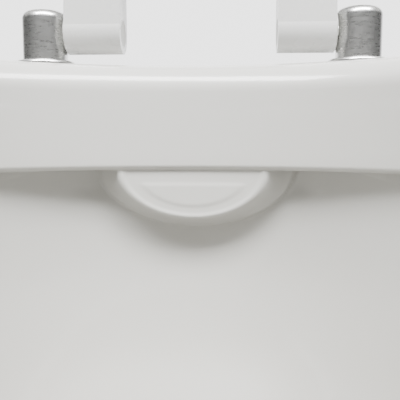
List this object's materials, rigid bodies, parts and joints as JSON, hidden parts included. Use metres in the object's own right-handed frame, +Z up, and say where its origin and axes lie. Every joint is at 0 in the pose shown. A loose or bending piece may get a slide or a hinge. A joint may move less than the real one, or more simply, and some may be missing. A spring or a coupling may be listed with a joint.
{
  "type": "rimless toilet pan",
  "caption": "Floor-standing, back-to-wall WC pan in white glazed ceramic with an open flush channel under the rim and a hinged ring seat, raised.",
  "frame": {"origin": "on the floor, under the middle of the pan's plan", "axes": "+Z up, -Y the front of the pan where a person sits, +Y towards the wall behind, +X to the right of someone facing the pan"},
  "size_m": [0.365, 0.5699, 0.8481],
  "materials": {
    "ceramic": "white glaze, glossy",
    "seat_plastic": "white moulded, semi-gloss",
    "pad_rubber": "white, matt",
    "hinge_metal": "satin stainless steel",
    "steel": "zinc-plated steel",
    "nylon": "white nylon, matt",
    "gasket_rubber": "black, matt",
    "seal_rubber": "black, matt",
    "bracket_steel": "pressed and plated",
    "cap_plastic": "white, glossy"
  },
  "bodies": {
    "pan": {"pan": "ceramic", "hinge_post_left": "hinge_metal", "hinge_pin_left": "steel", "hinge_gasket_left": "gasket_rubber", "hinge_stud_left": "steel", "hinge_grub_screw_left": "steel", "hinge_cup_washer_left": "gasket_rubber", "hinge_wing_nut_left": "nylon", "floor_bracket_left": "bracket_steel", "side_screw_left": "steel", "side_bush_left": "nylon", "side_cap_left": "cap_plastic", "hinge_post_right": "hinge_metal", "hinge_pin_right": "steel", "hinge_gasket_right": "gasket_rubber", "hinge_stud_right": "steel", "hinge_grub_screw_right": "steel", "hinge_cup_washer_right": "gasket_rubber", "hinge_wing_nut_right": "nylon", "floor_bracket_right": "bracket_steel", "side_screw_right": "steel", "side_bush_right": "nylon", "side_cap_right": "cap_plastic", "inlet_seal": "seal_rubber"},
    "seat": {"seat_ring": "seat_plastic", "seat_pad_front_left": "pad_rubber", "seat_pad_front_right": "pad_rubber", "seat_pad_rear_left": "pad_rubber", "seat_pad_rear_right": "pad_rubber", "hinge_bush_left": "nylon", "hinge_bush_right": "nylon"}
  },
  "joints": [
    {"name": "seat_hinge", "type": "hinge", "parent": "pan", "child": "seat", "pos_m": [0, 0.15, 0.418], "axis": [1, 0, 0], "range_deg": [0, 97]}
  ]
}
